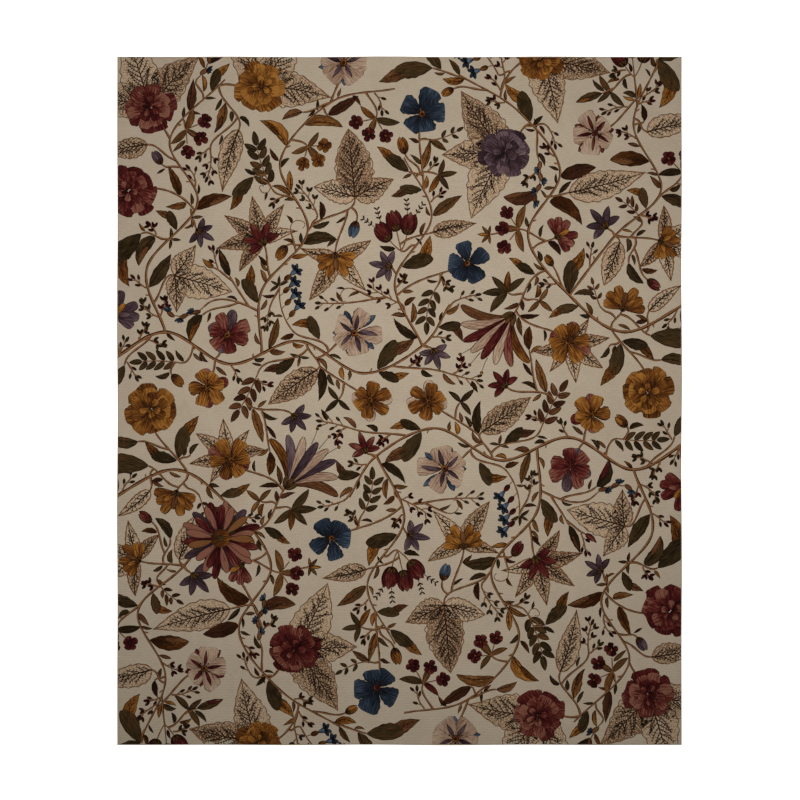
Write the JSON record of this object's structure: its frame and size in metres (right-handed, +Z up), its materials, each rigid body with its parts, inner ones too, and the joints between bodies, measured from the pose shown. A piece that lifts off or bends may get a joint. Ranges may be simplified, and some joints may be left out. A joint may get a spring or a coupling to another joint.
{
  "type": "hand-knotted wool rug",
  "caption": "Rectangular hand-knotted wool rug, low pile, lying flat, for covering a floor.",
  "frame": {"origin": "middle of the rug's underside, on the floor it lies on", "axes": "+Z up out of the pile, +Y along the rug's length towards its far end, +X across its width"},
  "size_m": [2.4631, 3.003, 0.0093],
  "materials": {
    "ground_wool": "undyed ivory wool pile, clipped low and matt",
    "stem_wool": "copper brown wool pile of the stems",
    "leaf_wool": "olive to rust wool pile of the leaves",
    "vein_wool": "walnut brown wool pile of veins and outlines",
    "madder_wool": "madder red wool pile",
    "gold_wool": "old gold wool pile",
    "indigo_wool": "indigo blue wool pile",
    "aubergine_wool": "aubergine wool pile"
  },
  "bodies": {
    "root": {"rug": "ground_wool"}
  },
  "joints": []
}
